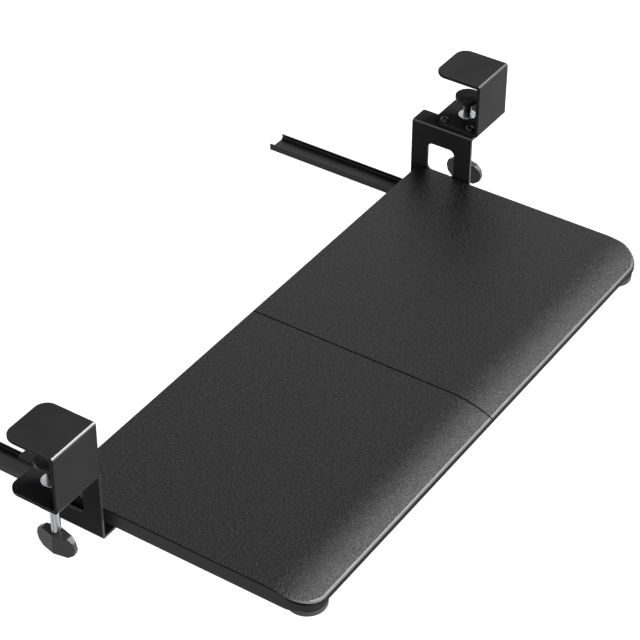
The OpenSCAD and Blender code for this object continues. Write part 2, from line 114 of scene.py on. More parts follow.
def finish(name, dark, light, roughness, cloud_mm, grain, by_grain=False, stretch=None, front=None, pebbles=None,
           **shader):
    """A surface whose colour drifts from dark to light over clouds of a size, under a fine grain.

    grain lists (pattern, size in mm, height in mm). roughness is the value on the dark and on the light
    clouds or, by_grain, in the hollows and on the crests of the last grain.
    stretch squeezes the clouds along each axis, and front fades the colour to a painted shade between two places
    on Y.
    pebbles is the size in mm and the shade of the light crests of a coarse grain.
    """
    made = bpy.data.materials.new(name)
    made.use_nodes = True
    tree = made.node_tree
    tree.nodes.clear()
    place = add(tree, "TexCoord").outputs["Object"]
    drawn = add(tree, "Mapping", Vector=place, Scale=stretch).outputs["Vector"] if stretch else place
    cloud = add(tree, "TexNoise", Vector=drawn, Scale=per_mm(cloud_mm), Detail=CLOUD_DETAIL).outputs["Fac"]
    ramp = add(tree, "ValToRGB", Fac=cloud)
    for stop, position, shade in zip(ramp.color_ramp.elements, (NOISE_LOW, NOISE_HIGH), (dark, light)):
        stop.position, stop.color = position, linear(shade)
    colour = ramp.outputs["Color"]
    # Painted shade: the colour darkens between two places on Y
    if front:
        start, end, shade = front
        along = add(tree, "SeparateXYZ", Vector=place).outputs["Y"]
        colour = shaded(tree, spread(tree, along, start * MM, end * MM), colour, shade)
    if pebbles:
        size, shade = pebbles
        spots = add(tree, "TexNoise", Vector=place, Scale=per_mm(size)).outputs["Fac"]
        colour = shaded(tree, spread(tree, spots, PEBBLE_LOW, PEBBLE_HIGH), colour, shade)
    normal = None
    for pattern, size, height in grain:
        texture = add(tree, pattern, Vector=place, Scale=per_mm(size)).outputs[0]
        bump = add(tree, "Bump", Height=texture, Strength=1.0, Distance=height * MM)
        if normal:
            tree.links.new(normal, bump.inputs["Normal"])
        normal = bump.outputs["Normal"]
    rough = spread(tree, texture if by_grain else cloud, NOISE_LOW, NOISE_HIGH, *roughness)
    surface = add(tree, "BsdfPrincipled", Base_Color=colour, Roughness=rough, Normal=normal, **shader)
    add(tree, "OutputMaterial", Surface=surface.outputs["BSDF"])
    return made


# Black PVC film, calendered and embossed: a leather grain whose light crests sparkle where they turn into the
# light. The real grain is about 0.9 mm, and it is drawn coarser so that it shows.
pvc_film = finish("embossed_pvc_film", "#030304", "#050506", (0.32, 0.18), 60,
                  (("TexVoronoi", 1.8, 0.1), ("TexNoise", 1.45, 0.5)), by_grain=True, pebbles=(2.3, "#2c2c2d"),
                  Specular_IOR_Level=0.205)
# The same film where it is drawn over the front rim: its grain is flattened, so the edge shines
rim_film = finish("stretched_pvc_film", "#0f0f10", "#141415", (0.36, 0.42), 60,
                  (("TexNoise", 1.2, 0.1),), Specular_IOR_Level=1.0)
# The same film where it turns under at the lip: dull and a little lighter
lip_film = finish("turned_pvc_film", "#171718", "#1b1b1c", (0.5, 0.6), 20, (("TexNoise", 0.8, 0.02),),
                  Specular_IOR_Level=0.06)
# Hot-melt glue between the film and the edge band: a fine black line. In the seam and under the shining rim at the
# front corners the same black is painted shade
glue_line_and_painted_shade = finish("hot_melt_glue_and_painted_shade", "#060607", "#09090a", (0.6, 0.7), 20, (("TexNoise", 0.8, 0.02),),
                   Specular_IOR_Level=0.02)
# ABS edge band, extruded and trimmed: smooth, even and a little lighter than the film. Over its last 28 mm towards
# the front it fades to a darker colour, painted shade where the band bends round the front corners
edge_band_and_painted_shade = finish("abs_edge_band", "#2a2a2b", "#2f2f30", (0.40, 0.48), 30, (("TexNoise", 0.8, 0.01),),
                   front=(-200, -228, "#18181a"), Specular_IOR_Level=0.12)
# Powder coat on steel, cured to satin black: dark, even plates with a faint orange peel
powder_coat = finish("satin_powder_coat", "#2d2d2e", "#323233", (0.28, 0.34), 40,
                     (("TexNoise", 1.2, 0.005),), Specular_IOR_Level=0.008)
# The same coat on a bend, stretched thin and smooth: the bright line along each fold
bend_coat = finish("glossy_powder_coat", "#2d2d2e", "#323233", (0.22, 0.26), 40,
                   (("TexNoise", 1.2, 0.001),), Specular_IOR_Level=0.8)
# The same coat drawn back from a cut edge: a thin light line
edge_coat = finish("thin_powder_coat", "#2d2d2e", "#323233", (0.34, 0.40), 40,
                   (("TexNoise", 1.2, 0.001),), Specular_IOR_Level=0.3)
# Electro-coated sheet steel: thin, even black paint that follows the drawn steel
e_coat = finish("black_electro_coat", "#1c1c1d", "#212122", (0.30, 0.40), 25, (("TexNoise", 0.9, 0.008),),
                Specular_IOR_Level=0.2)
# Black oxide on steel: dark and slightly metallic, uneven as it comes out of the bath
black_oxide = finish("black_oxide_steel", "#232426", "#303134", (0.34, 0.46), 6,
                     (("TexNoise", 0.8, 0.01),), Metallic=0.85)
# Zinc plate on pressed steel: bright and slightly clouded
zinc_plate = finish("bright_zinc_plate", "#a9acb0", "#c4c7ca", (0.24, 0.38), 7,
                    (("TexNoise", 0.7, 0.008),), Metallic=1.0)
# Zinc plate on a rolled thread: satin and greyer than the pressings
thread_zinc = finish("zinc_plated_thread", "#6c6d6f", "#767779", (0.22, 0.28), 8,
                     (("TexNoise", 0.6, 0.004),), Metallic=1.0)
# Zinc plate on a cold-drawn shank: light and dark streaks along the rod, drawing marks in part and, from near
# black to near white, painted reflection in part
shank_zinc_and_painted_reflection = finish("zinc_drawn_rod_and_painted_reflection", "#0c0c0d", "#d8d9db", (0.20, 0.30), 3,
                    (("TexNoise", 0.6, 0.004),), stretch=(1, 1, 0.03), Metallic=1.0)
# Through-hardened chrome steel, lapped to a mirror
ball_steel = finish("lapped_ball_steel", "#c6c9cc", "#d6d8da", (0.05, 0.09), 2,
                    (("TexNoise", 0.5, 0.0005),), Metallic=1.0)
# Glass-filled nylon from a spark-eroded mould: satin black with a fine even texture
nylon = finish("moulded_black_nylon", "#363637", "#3b3b3c", (0.34, 0.42), 14, (("TexNoise", 0.9, 0.012),),
               Specular_IOR_Level=0.15)
# The same nylon round the grip, polished by fingers
grip_nylon = finish("polished_black_nylon", "#363637", "#3b3b3c", (0.28, 0.34), 14, (("TexNoise", 0.9, 0.01),),
                    Specular_IOR_Level=0.35)
# Vulcanised rubber of the feet: dull, dark grey and a little dusty
foot_rubber = finish("grey_moulded_rubber", "#373738", "#3e3e3f", (0.50, 0.62), 9, (("TexNoise", 0.9, 0.02),),
                     Specular_IOR_Level=0.25)
# Vulcanised rubber of the liners and the pads: dull and black. On the feet the same black paints the shade in the
# groove under the board
pad_rubber_and_groove_shade = finish("black_moulded_rubber_and_groove_shade", "#1e1e1f", "#242425", (0.6, 0.75), 8, (("TexNoise", 0.8, 0.03),),
                    Specular_IOR_Level=0.2)


# Shapes, drawn in mm on the right-hand side

NEAR, FACE_NEAR, FACING = 0.01, 0.1, 0.9
TURNED_WELD, COPY_WELD, THREAD_WELD = 0.001, 0.002, 0.01
COPY_FLAT = math.radians(0.5)
SHARP_ANGLE = math.radians(50)
FLAT_WEIGHT = 100
MOULDED_STEPS = 3
# Shares of a domed head's radius and height, from its seat up to the rim of its recess
HEAD_PROFILE = ((1.0, 0.0), (1.0, 0.45), (0.9, 0.8), (0.66, 1.0))
HEAD_STEPS = 24


def box_mm(node):
    """Lowest and highest corner of a solid, in mm."""
    low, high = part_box(node)
    return low / MM, high / MM


def verts_in(geometry):
    """The vertices among what an operation made."""
    return [g for g in geometry if isinstance(g, bmesh.types.BMVert)]


def edges_in(geometry):
    """The edges among what an operation made."""
    return [g for g in geometry if isinstance(g, bmesh.types.BMEdge)]


def solid(outline, run):
    """A flat outline carried along a vector."""
    bm = bmesh.new()
    face = bm.faces.new([bm.verts.new(p) for p in outline])
    grown = bmesh.ops.extrude_face_region(bm, geom=[face])["geom"]
    bmesh.ops.translate(bm, vec=run, verts=verts_in(grown))
    bmesh.ops.recalc_face_normals(bm, faces=bm.faces)
    return bm


def turned(profile, steps=48):
    """A turned solid about Z from points (radius, height)."""
    bm = bmesh.new()
    points = [bm.verts.new((r, 0, z)) for r, z in profile]
    line = [bm.edges.new(pair) for pair in zip(points, points[1:])]
    bmesh.ops.spin(bm, geom=points + line, cent=(0, 0, 0), axis=(0, 0, 1), angle=2 * math.pi,
                   steps=steps, use_merge=True)
    bmesh.ops.remove_doubles(bm, verts=bm.verts, dist=TURNED_WELD)
    bmesh.ops.recalc_face_normals(bm, faces=bm.faces)
    return bm


def edges_at(bm, **where):
    """Edges whose two ends both have these coordinates."""
    return [e for e in bm.edges if all(
        abs(getattr(v.co, axis) - value) < NEAR for v in e.verts for axis, value in where.items())]


def lies_at(face, x):
    """Whether the middle of a face lies at a place on X."""
    return abs(face.calc_center_median().x - x) < FACE_NEAR


def round_off(bm, edges, radius, segments):
    """Rounds edges to a radius."""
    bmesh.ops.bevel(bm, geom=edges, offset=radius, segments=segments, profile=0.5,
                    affect="EDGES", material=-1, clamp_overlap=True)


def round_corners(bm, corners, radius, segments):
    """Rounds the corners of faces to a radius."""
    bmesh.ops.bevel(bm, geom=corners, offset=radius, segments=segments, profile=0.5,
                    affect="VERTICES", material=-1)


def ease(bm, radius, segments=2, sharper_than=32):
    """Takes the sharpness off every edge that turns more than an angle."""
    sharp = [e for e in bm.edges if e.is_manifold and e.calc_face_angle() > math.radians(sharper_than)]
    round_off(bm, sharp, radius, segments)


def cut(bm, place, way, **options):
    """Cuts through a whole shape along a plane."""
    everything = bm.verts[:] + bm.edges[:] + bm.faces[:]
    return bmesh.ops.bisect_plane(bm, geom=everything, plane_co=place, plane_no=way, **options)["geom_cut"]


def join(*shapes):
    """Several shapes as one."""
    bm = bmesh.new()
    for shape in shapes:
        held = bpy.data.meshes.new("held")
        shape.to_mesh(held)
        shape.free()
        bm.from_mesh(held)
        bpy.data.meshes.remove(held)
    return bm


def moved(bm, place, turn=None):
    """A shape turned about its own axes, then put in its place."""
    if turn:
        bmesh.ops.rotate(bm, cent=(0, 0, 0), matrix=turn, verts=bm.verts)
    bmesh.ops.translate(bm, vec=place, verts=bm.verts)
    return bm


def eased_copy(node, radius):
    """A copy of a solid, its flat faces made whole and its edges eased."""
    bm = bmesh.new()
    bm.from_mesh(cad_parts[node].data)
    bmesh.ops.scale(bm, vec=(1 / MM,) * 3, verts=bm.verts)
    bmesh.ops.remove_doubles(bm, verts=bm.verts, dist=COPY_WELD)
    bmesh.ops.dissolve_limit(bm, angle_limit=COPY_FLAT, verts=bm.verts, edges=bm.edges)
    ease(bm, radius)
    return bm


def piece(name, bm, body, finishes, nodes, side="right", pick=None):
    """Makes a drawn shape a piece on its side, in metres, in place of its solids."""
    bmesh.ops.scale(bm, vec=(-MM if side == "left" else MM, MM, MM), verts=bm.verts)
    bmesh.ops.recalc_face_normals(bm, faces=bm.faces)
    if pick:
        for face in bm.faces:
            face.material_index = pick(face)
    mesh = bpy.data.meshes.new(name)
    bm.to_mesh(mesh)
    bm.free()
    for material in finishes:
        mesh.materials.append(material)
    mesh.shade_smooth()
    mesh.set_sharp_from_angle(angle=SHARP_ANGLE)
    made = bpy.data.objects.new(name, mesh)
    bpy.context.scene.collection.objects.link(made)
    level = made.modifiers.new("flat_faces", "WEIGHTED_NORMAL")
    level.keep_sharp = True
    level.weight = FLAT_WEIGHT
    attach(made, body)
    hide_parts(*nodes)
    return made


def driven_head(radius, height, recess, depth):
    """A domed screw head on z = 0 that faces up, with a recess of a given outline."""
    bm = bmesh.new()
    rings = []
    for share, z in HEAD_PROFILE:
        ring = bmesh.ops.create_circle(bm, radius=radius * share, segments=HEAD_STEPS,
                                       matrix=Matrix.Translation((0, 0, height * z)))
        # Each edge once and in order: a bridge between edges in a chance order can come out twisted
        rings.append(list(dict.fromkeys(e for v in ring["verts"] for e in v.link_edges)))
    bmesh.ops.edgeloop_fill(bm, edges=rings[0])
    mouth = [bm.verts.new((x, y, height)) for x, y in recess]
    rim = [bm.edges.new(pair) for pair in zip(mouth, mouth[1:] + mouth[:1])]
    rings.append(rim)
    for lower, upper in zip(rings, rings[1:]):
        bmesh.ops.bridge_loops(bm, edges=lower + upper)
    sunk = bmesh.ops.extrude_edge_only(bm, edges=rim)["geom"]
    bmesh.ops.translate(bm, vec=(0, 0, -depth), verts=verts_in(sunk))
    bmesh.ops.edgeloop_fill(bm, edges=edges_in(sunk))
    bmesh.ops.recalc_face_normals(bm, faces=bm.faces)
    return bm


def hexagon(flats):
    """Corners of a hexagon by its width across the flats."""
    r = flats / 2 / math.cos(math.pi / 6)
    return [(r * math.cos(math.radians(a)), r * math.sin(math.radians(a))) for a in range(0, 360, 60)]


def ends_and_middle(start, end, inset):
    """Three places along a piece, the outer ones an inset away from its ends."""
    return [start + inset, (start + end) / 2, end - inset]


CROSS_LONG, CROSS_HALF = 2.0, 0.5
CROSS = [(CROSS_LONG, CROSS_HALF), (CROSS_HALF, CROSS_HALF), (CROSS_HALF, CROSS_LONG)]
CROSS = [(x * c - y * s, x * s + y * c) for c, s in ((1, 0), (0, 1), (-1, 0), (0, -1)) for x, y in CROSS]
FACE_DOWN = Matrix.Rotation(math.pi, 3, "X")


# Boards: a slab with eased rims, whose front falls in a curve to a lip

low, high = box_mm("tray_board_right")
LIP_HEIGHT = 6
WATERFALL_R = 112
FRONT_CORNER_R, BACK_CORNER_R = 30, 8
FRONT_RIM, SIDE_RIM, SEAM_RIM, CORNER_RIM, UNDER_RIM = 3, 1.3, 0.9, 1, 1
SEAM_END = 3
CORNER_STEPS, RIM_STEPS, CURVE_STEPS = 16, 8, 26


def board_outline():
    """Plan of the right board: each point with its way inwards, scaled to the width of its rim."""
    line = [(low.x, low.y, SEAM_RIM, FRONT_RIM, FRONT_RIM)]
    corners = ((high.x - FRONT_CORNER_R, low.y + FRONT_CORNER_R, FRONT_CORNER_R, -90, FRONT_RIM),
               (high.x - BACK_CORNER_R, high.y - BACK_CORNER_R, BACK_CORNER_R, 0, SIDE_RIM))
    for x, y, r, start, rim in corners:
        for step in range(CORNER_STEPS + 1):
            share = step / CORNER_STEPS
            angle = math.radians(start + 90 * share)
            wide = rim + (SIDE_RIM - rim) * share * share
            if rim == FRONT_RIM:
                wide += CORNER_RIM * math.sin(math.pi * share)
            line.append((x + r * math.cos(angle), y + r * math.sin(angle),
                         -wide * math.cos(angle), -wide * math.sin(angle), wide))
    line += [(low.x, high.y, SEAM_RIM, -SIDE_RIM, SIDE_RIM), (low.x, high.y - SEAM_END, SEAM_RIM, 0, SEAM_RIM),
             (low.x, low.y + SEAM_END, SEAM_RIM, 0, SEAM_RIM)]
    return line


def board():
    """Rings of points from the under rim up to the top rim, then cut across and bent down at the front."""
    bm = bmesh.new()
    rings = []
    turns = [math.pi / 2 * step / RIM_STEPS for step in range(RIM_STEPS + 1)]
    for end, way, order, most in ((low.z, 1, turns[::-1], UNDER_RIM), (high.z, -1, turns, math.inf)):
        for turn in order:
            rings.append([])
            for x, y, in_x, in_y, rim in board_outline():
                part = min(1, most / rim)
                inward, down = part * (1 - math.cos(turn)), part * (1 - math.sin(turn))
                rings[-1].append(bm.verts.new((x + in_x * inward, y + in_y * inward, end + way * rim * down)))
    for lower, upper in zip(rings, rings[1:]):
        for k in range(len(lower)):
            bm.faces.new((lower[k - 1], lower[k], upper[k], upper[k - 1]))
    bm.faces.new(rings[0])
    bm.faces.new(rings[-1])
    run = math.sqrt(WATERFALL_R ** 2 - (WATERFALL_R - (high.z - low.z - LIP_HEIGHT)) ** 2)
    for step in range(CURVE_STEPS):
        cut(bm, (0, low.y + FRONT_RIM + (run - FRONT_RIM) * (step + 1) / CURVE_STEPS, 0), (0, 1, 0))
    for v in bm.verts:
        ahead = low.y + run - v.co.y
        if ahead > 0 and v.co.z > (low.z + high.z) / 2:
            v.co.z -= WATERFALL_R - math.sqrt(WATERFALL_R ** 2 - ahead ** 2)
    bmesh.ops.recalc_face_normals(bm, faces=bm.faces)
    return bm


# The board's finishes in order, and how far a face leans, as parts of its normal, where one meets the next
FILM, BAND, RIM, GLUE_AND_SHADE, LIP = range(5)
SEAM_ASIDE, SEAM_NEAR = 0.3, 2
FRONT_SHARE = 0.25
RIM_UP, CORNER_UP, CORNER_GAIN, FILM_UP = 0.55, 0.5, 0.25, 0.9
LIP_ASIDE, LIP_UP = 0.3, 0.56
BAND_UNDER, BAND_UP, FRONT_BAND_UP, FRONT_BAND_LOSS, FRONT_BAND_LEAST = -0.75, 0.5, 0.65, 0.6, 0.2
GLUE_UP = 0.05


def board_finish(face):
    """Film on the flats, edge band on the sides and the back, shining or dull film or a glue line on the rims.

    At the seam the black shows from the top of the rim down as painted shade of the gap, and at the front corners
    it is painted shade under the rim's highlight.
    """
    n = face.normal
    aside = abs(n.x)
    # Painted shade: black over the seam's rounded rims, where the gap between the boards is in shade
    if aside > SEAM_ASIDE and abs(face.calc_center_median().x) < SEAM_NEAR * MM:
        return GLUE_AND_SHADE
    front = -n.y > FRONT_SHARE * aside
    if front and max(RIM_UP, CORNER_UP + CORNER_GAIN * aside) < n.z < FILM_UP:
        return RIM
    if front and aside < LIP_ASIDE and abs(n.z) < LIP_UP:
        return LIP
    band_up = max(FRONT_BAND_UP - FRONT_BAND_LOSS * aside, FRONT_BAND_LEAST) if front else BAND_UP
    if BAND_UNDER < n.z < band_up:
        return BAND
    # Black between the top rim and the edge band: a glue line, and at the front corners painted shade under the
    # rim highlight
    return GLUE_AND_SHADE if GLUE_UP < n.z < FILM_UP else FILM


for side in SIDES:
    piece(f"board_{side}", board(), "tray", (pvc_film, edge_band_and_painted_shade, rim_film, glue_line_and_painted_shade, lip_film),
          [f"tray_board_{side}"], side, board_finish)


# Splice plates and screws under the boards

SPLICE_EASE = 0.3
SPLICE_INSET_X, SPLICE_INSET_Y = 14, 10
WOOD_HEAD_R, WOOD_HEAD_H, WOOD_RECESS = 3.6, 2, 1.2
WOOD_SHANK_R, WOOD_TAPER, WOOD_POINT, WOOD_OVERLAP, WOOD_STEPS = 1.9, 9, 12, 0.2, 16

for where in ("front", "back"):
    piece(f"splice_{where}", eased_copy(f"splice_plate_{where}", SPLICE_EASE), "tray",
          (zinc_plate,), [f"splice_plate_{where}"])


def wood_screw(x, y, seat):
    """A pan-head screw driven up from below, its head under a seat."""
    head = moved(driven_head(WOOD_HEAD_R, WOOD_HEAD_H, CROSS, WOOD_RECESS), (x, y, seat), FACE_DOWN)
    shank = turned([(0, seat - WOOD_OVERLAP), (WOOD_SHANK_R, seat - WOOD_OVERLAP),
                    (WOOD_SHANK_R, seat + WOOD_TAPER), (0, seat + WOOD_POINT)], WOOD_STEPS)
    return join(head, moved(shank, (x, y, 0)))


low, high = box_mm("splice_plate_front")
SPLICE_SEAT = low.z
SPLICE_Y = [(low.y + high.y) / 2]
low, high = box_mm("splice_plate_back")
SPLICE_Y.append((low.y + high.y) / 2)
SPLICE_SCREW_X, SPLICE_SCREW_Y = high.x - SPLICE_INSET_X, (high.y - low.y) / 2 - SPLICE_INSET_Y
piece("splice_screw_set",
      join(*[wood_screw(sx * SPLICE_SCREW_X, y + sy * SPLICE_SCREW_Y, SPLICE_SEAT)
             for y in SPLICE_Y for sx in (-1, 1) for sy in (-1, 1)]),
      "tray", (zinc_plate,), ["splice_screws"])


# Bumpers: round rubber feet that meet the slides when the tray is pushed in

low, high = box_mm("bumper_right")
BUMPER_X, BUMPER_Y, BUMPER_R = (low.x + high.x) / 2, (low.y + high.y) / 2, (high.x - low.x) / 2
BUMPER_SINK_R, BUMPER_FLOOR = 4.2, low.z + 3.5
BUMPER_NECK_R, BUMPER_SHOULDER = BUMPER_R - 1.6, high.z - 4.8
BUMPER_DRAFT, SINK_DRAFT, BUMPER_EASE, BUMPER_STEPS = 0.3, 0.5, 0.7, 72
# Painted shade: the faces of a foot above this height are black
GROOVE_SHADE_LOW = BUMPER_SHOULDER - 0.1


def bumper():
    """A foot with a sunk hole for its screw and a narrower neck under the board."""
    bm = turned([(WOOD_SHANK_R, high.z), (BUMPER_NECK_R, high.z), (BUMPER_NECK_R, BUMPER_SHOULDER),
                 (BUMPER_R, BUMPER_SHOULDER), (BUMPER_R - BUMPER_DRAFT, low.z), (BUMPER_SINK_R, low.z),
                 (BUMPER_SINK_R - SINK_DRAFT, BUMPER_FLOOR), (WOOD_SHANK_R, BUMPER_FLOOR),
                 (WOOD_SHANK_R, high.z)], BUMPER_STEPS)
    ease(bm, BUMPER_EASE, MOULDED_STEPS)
    return moved(bm, (BUMPER_X, BUMPER_Y, 0))


def foot_groove_shade(face):
    """Painted shade: black in the groove under the board, where shade falls."""
    return int(face.calc_center_median().z > GROOVE_SHADE_LOW * MM)


for side in SIDES:
    piece(f"foot_{side}", bumper(), "tray", (foot_rubber, pad_rubber_and_groove_shade), [f"bumper_{side}"], side,
          foot_groove_shade)
piece("foot_screw_pair", join(*[wood_screw(s * BUMPER_X, BUMPER_Y, BUMPER_FLOOR) for s in (-1, 1)]),
      "tray", (zinc_plate,), ["bumper_screws"])


# Ball slides

low, high = box_mm("rail_right")
SLIDE_X = (low.x + high.x) / 2
RAIL_T, RAIL_SCREW_INSET = 1.5, 14
RAIL_SEAT = high.z - RAIL_T
RAIL_SCREW_Y = ends_and_middle(low.y, high.y, RAIL_SCREW_INSET)
CHANNEL_EASE, RAIL_EASE, CAGE_EASE = 0.25, 0.2, 0.12
low, high = box_mm("hanger_right")
HANGER_BOTTOM = low.z
RIVET_INSET = 12
RIVET_Y = ends_and_middle(low.y, high.y, RIVET_INSET)
RIVET_R, RIVET_L, RIVET_TAPER, RIVET_END = 2.4, 4.5, 4.4, 0.7
RIVET_HEAD_R, RIVET_HEAD_H = 4.2, 1.5
RIVET_DOME = ((0.45, 0.92), (0.8, 0.62))
RIVET_STEPS = 24


def rivets():
    """Rivets whose domed heads lie under the hanger's foot."""
    profile = [(0, -RIVET_HEAD_H)] + [(RIVET_HEAD_R * r, -RIVET_HEAD_H * h) for r, h in RIVET_DOME]
    profile += [(RIVET_HEAD_R, 0), (RIVET_R, 0), (RIVET_R, RIVET_TAPER), (RIVET_R * RIVET_END, RIVET_L),
                (0, RIVET_L)]
    return join(*[moved(turned(profile, RIVET_STEPS), (SLIDE_X, y, HANGER_BOTTOM)) for y in RIVET_Y])


for side in SIDES:
    piece(f"outer_channel_{side}", eased_copy(f"slide_channel_{side}", CHANNEL_EASE), "clamp_frame",
          (e_coat,), [f"slide_channel_{side}"])
    piece(f"inner_rail_{side}", eased_copy(f"rail_{side}", RAIL_EASE), "tray", (e_coat,),
          [f"rail_{side}"])
    piece(f"ball_retainer_{side}", eased_copy(f"ball_cage_{side}", CAGE_EASE), f"cage_{side}",
          (zinc_plate,), [f"ball_cage_{side}"])
    piece(f"rail_screw_set_{side}", join(*[wood_screw(SLIDE_X, y, RAIL_SEAT) for y in RAIL_SCREW_Y]), "tray",
          (zinc_plate,), [f"rail_screws_{side}"], side)
    piece(f"rivet_set_{side}", rivets(), "clamp_frame", (black_oxide,),
          [f"channel_rivets_{side}"], side)
    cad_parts[f"balls_{side}"].material_slots[0].material = ball_steel


# Hangers: one plate bent out at the top and in at the foot, with a window in its web

low, high = box_mm("hanger_right")
HANGER_T = 3
WEB_OUT, WEB_IN = 349.5, 346.5
WINDOW_INSET, WINDOW_FOOT, WINDOW_HEAD = 22, 23.5, 24.5
WINDOW_Y = (low.y + WINDOW_INSET, high.y - WINDOW_INSET)
WINDOW_Z = (low.z + WINDOW_FOOT, high.z - WINDOW_HEAD)
WINDOW_R, WINDOW_STEPS, WINDOW_START = 7, 8, 15
HANGER_BEND_R, HANGER_BEND_STEPS = 2.5, 6
FLANGE_CORNER_R, FLANGE_CORNER_STEPS = 2.5, 5
BEND_R, BEND_STEPS, INNER_BEND_R, INNER_BEND_STEPS, PLATE_EASE = 3.5, 9, 0.7, 3, 0.35


def hanger():
    """The bent section carried from front to back, with a window let through both faces of the web."""
    y, top, foot = low.y, high.z, low.z
    bm = solid([(WEB_IN, y, top), (high.x, y, top), (high.x, y, top - HANGER_T), (WEB_OUT, y, top - HANGER_T),
                (WEB_OUT, y, foot), (low.x, y, foot), (low.x, y, foot + HANGER_T), (WEB_IN, y, foot + HANGER_T)],
               (0, high.y - low.y, 0))
    mouths = []
    for x in (WEB_IN, WEB_OUT):
        web = [f for f in bm.faces if abs(f.normal.x) > FACING and lies_at(f, x)]
        wall = max(web, key=lambda f: f.calc_area())
        bmesh.ops.inset_individual(bm, faces=[wall], thickness=WINDOW_START)
        for v in wall.verts:
            v.co.y = WINDOW_Y[int(v.co.y > sum(WINDOW_Y) / 2)]
            v.co.z = WINDOW_Z[int(v.co.z > sum(WINDOW_Z) / 2)]
        round_corners(bm, wall.verts[:], WINDOW_R, WINDOW_STEPS)
        opening = max((f for f in bm.faces if lies_at(f, x)), key=lambda f: len(f.verts))
        mouths += opening.edges[:]
        bmesh.ops.delete(bm, geom=[opening], context="FACES_ONLY")
    bmesh.ops.bridge_loops(bm, edges=mouths)
    bmesh.ops.recalc_face_normals(bm, faces=bm.faces)
    round_off(bm, edges_at(bm, x=WEB_IN, z=top) + edges_at(bm, x=WEB_OUT, z=foot),
              HANGER_BEND_R, HANGER_BEND_STEPS)
    round_off(bm, edges_at(bm, x=WEB_OUT, z=top - HANGER_T) + edges_at(bm, x=WEB_IN, z=foot + HANGER_T),
              INNER_BEND_R, INNER_BEND_STEPS)
    round_off(bm, edges_at(bm, x=high.x, y=low.y) + edges_at(bm, x=high.x, y=high.y)
              + edges_at(bm, x=low.x, y=low.y) + edges_at(bm, x=low.x, y=high.y),
              FLANGE_CORNER_R, FLANGE_CORNER_STEPS)
    ease(bm, PLATE_EASE)
    return bm


# The coats of a plate in order, and how far a face leans, as parts of its normal, on a fold and on a cut edge
FLAT_COAT, FOLD_COAT, CUT_COAT = range(3)
FOLD_UP_LOW, FOLD_UP_HIGH, FOLD_DOWN_LOW, FOLD_DOWN_HIGH = 0.45, 0.99, -0.99, -0.12
FOLD_ASIDE, CUT_FORWARD = 0.05, -0.7


def plate_finish(face):
    """The glossy coat on the folds, whose faces lean about one axis only."""
    n = face.normal
    leans = FOLD_UP_LOW < n.z < FOLD_UP_HIGH or FOLD_DOWN_LOW < n.z < FOLD_DOWN_HIGH
    return FOLD_COAT if leans and min(abs(n.x), abs(n.y)) < FOLD_ASIDE else FLAT_COAT


def hanger_finish(face):
    """The thin coat on the cut front edge as well."""
    return CUT_COAT if face.normal.y < CUT_FORWARD else plate_finish(face)


for side in SIDES:
    piece(f"hanger_plate_{side}", hanger(), "clamp_frame", (powder_coat, bend_coat, edge_coat),
          [f"hanger_{side}"], side, hanger_finish)


# Clamp brackets: a plate bent to a C, with round corners at the back, lined with rubber

low, high = box_mm("clamp_bracket_right")
PLATE_T = 3.5
PLATE_CORNER_R, PLATE_CORNER_STEPS = 14, 12
LINER_T, LINER_H, LINER_INSET, LINER_EASE = 1.5, 38, 1, 0.3


def bracket():
    """The C section carried across, its folds and its back corners rounded."""
    x, front, back, top, foot = low.x, low.y, high.y, high.z, low.z
    bm = solid([(x, front, top), (x, back, top), (x, back, top - PLATE_T), (x, front + PLATE_T, top - PLATE_T),
                (x, front + PLATE_T, foot + PLATE_T), (x, back, foot + PLATE_T), (x, back, foot),
                (x, front, foot)], (high.x - low.x, 0, 0))
    round_off(bm, edges_at(bm, y=front, z=top) + edges_at(bm, y=front, z=foot), BEND_R, BEND_STEPS)
    round_off(bm, edges_at(bm, y=front + PLATE_T, z=top - PLATE_T)
              + edges_at(bm, y=front + PLATE_T, z=foot + PLATE_T), INNER_BEND_R, INNER_BEND_STEPS)
    round_off(bm, edges_at(bm, x=low.x, y=back) + edges_at(bm, x=high.x, y=back),
              PLATE_CORNER_R, PLATE_CORNER_STEPS)
    ease(bm, PLATE_EASE)
    return bm


def liner():
    """A rubber angle inside the bracket, under its top and behind its front."""
    x, front, back, top = low.x + LINER_INSET, low.y + PLATE_T, high.y - LINER_INSET, high.z - PLATE_T
    bm = solid([(x, front, top), (x, back, top), (x, back, top - LINER_T), (x, front + LINER_T, top - LINER_T),
                (x, front + LINER_T, top - LINER_H), (x, front, top - LINER_H)],
               (high.x - low.x - 2 * LINER_INSET, 0, 0))
    round_off(bm, edges_at(bm, x=x, y=back) + edges_at(bm, x=high.x - LINER_INSET, y=back),
              PLATE_CORNER_R - LINER_INSET, PLATE_CORNER_STEPS)
    ease(bm, LINER_EASE)
    return bm


for side in SIDES:
    piece(f"bracket_{side}", bracket(), "clamp_frame", (powder_coat, bend_coat),
          [f"clamp_bracket_{side}"], side, plate_finish)
    piece(f"jaw_liner_{side}", liner(), "clamp_frame", (pad_rubber_and_groove_shade,), [f"clamp_liner_{side}"],
          side)


# Bolts and nuts that hold the hangers under the brackets

SEAT_TOP = low.z + PLATE_T
BOLT_INSET, BOLT_FRONT, BOLT_BACK = 7.5, 15, 49
BOLT_X = low.x + BOLT_INSET
BOLT_Y = (low.y + BOLT_FRONT, low.y + BOLT_BACK)
BOLT_R, BOLT_HEAD_R, BOLT_HEAD_H = 3, 5.2, 3.2
BOLT_TAPER, BOLT_POINT, BOLT_OVERLAP, BOLT_STEPS = 0.9, 0.7, 0.3, 32
KEY_FLATS, KEY_DEPTH = 4, 2
NUT_FLATS, NUT_H, NUT_CHAMFER, NUT_STEPS, NUT_EASE = 10, 5, 0.8, 2, 0.2
low, high = box_mm("hanger_bolts_right")
BOLT_END = low.z


